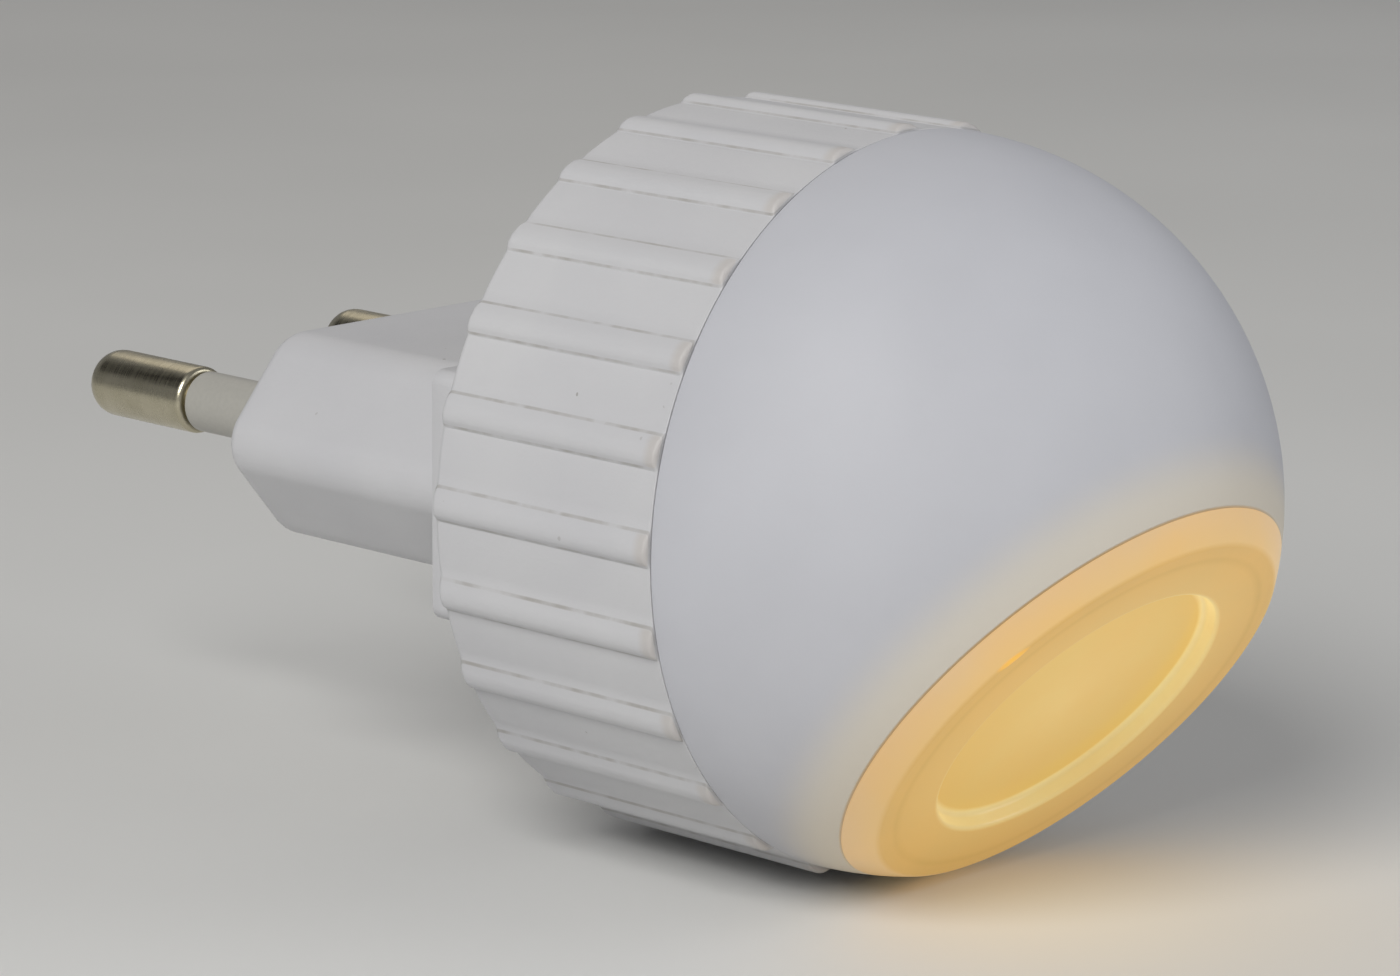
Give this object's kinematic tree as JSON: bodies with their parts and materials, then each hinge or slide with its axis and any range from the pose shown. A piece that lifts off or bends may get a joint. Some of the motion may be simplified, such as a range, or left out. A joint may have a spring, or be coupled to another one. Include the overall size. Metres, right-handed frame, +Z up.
{
  "type": "plug-in night light",
  "caption": "Mains night light: flat two-pin plug body carrying a ribbed round head with a white dome and a slanted amber lens; the head turns about the plug's axis.",
  "frame": {"origin": "centre of the plug's engagement face, midway between the two pins", "axes": "+Y along the pins into the wall socket, +Z up, so that the lens looks down and into the room (-Y)"},
  "size_m": [0.0417, 0.0766, 0.0417],
  "materials": {
    "white_plastic": "satin moulded ABS",
    "grip_plastic": "satin moulded ABS",
    "dome_plastic": "smooth moulded ABS",
    "amber_lens": "frosted, lit amber",
    "pin_metal": "nickel-plated brass, satin",
    "sleeve_plastic": "satin",
    "inner_plastic": "plain moulded",
    "screw_steel": "zinc-plated",
    "spring_steel": "bright spring steel",
    "brown_insulation": "PVC",
    "blue_insulation": "PVC",
    "red_insulation": "PVC",
    "black_insulation": "PVC",
    "board_laminate": "solder-masked laminate",
    "led_board_metal": "white solder mask on aluminium",
    "capacitor_box": "moulded box",
    "capacitor_sleeve": "shrink sleeve",
    "black_epoxy": "moulded epoxy",
    "resistor_coating": "lacquered",
    "led_phosphor": "phosphor gel",
    "reflector_plastic": "bright white moulding"
  },
  "bodies": {
    "plug": {"plug_body": "white_plastic", "pin_left": "pin_metal", "pin_right": "pin_metal", "pin_sleeve_left": "sleeve_plastic", "pin_sleeve_right": "sleeve_plastic", "pin_clamp": "inner_plastic", "clamp_screws": "screw_steel", "live_lead": "brown_insulation", "neutral_lead": "blue_insulation", "swivel_hub": "white_plastic", "hub_screws": "screw_steel", "disc_spring": "spring_steel", "retaining_ring": "inner_plastic", "ring_screws": "screw_steel"},
    "head": {"grip_housing": "grip_plastic", "driver_board": "board_laminate", "film_capacitor": "capacitor_box", "smoothing_capacitor": "capacitor_sleeve", "bridge_rectifier": "black_epoxy", "fuse_resistor": "resistor_coating", "bleed_resistor": "resistor_coating", "housing_screws": "screw_steel", "dome_shell": "dome_plastic", "led_board": "led_board_metal", "led_chips": "led_phosphor", "led_lead_plus": "red_insulation", "led_lead_minus": "black_insulation", "reflector": "reflector_plastic", "lens_cap": "amber_lens"}
  },
  "joints": [
    {"name": "head_turn", "type": "hinge", "parent": "plug", "child": "head", "pos_m": [0, -0.021, 0], "axis": [0, 1, 0], "range_deg": [-170, 170]}
  ]
}
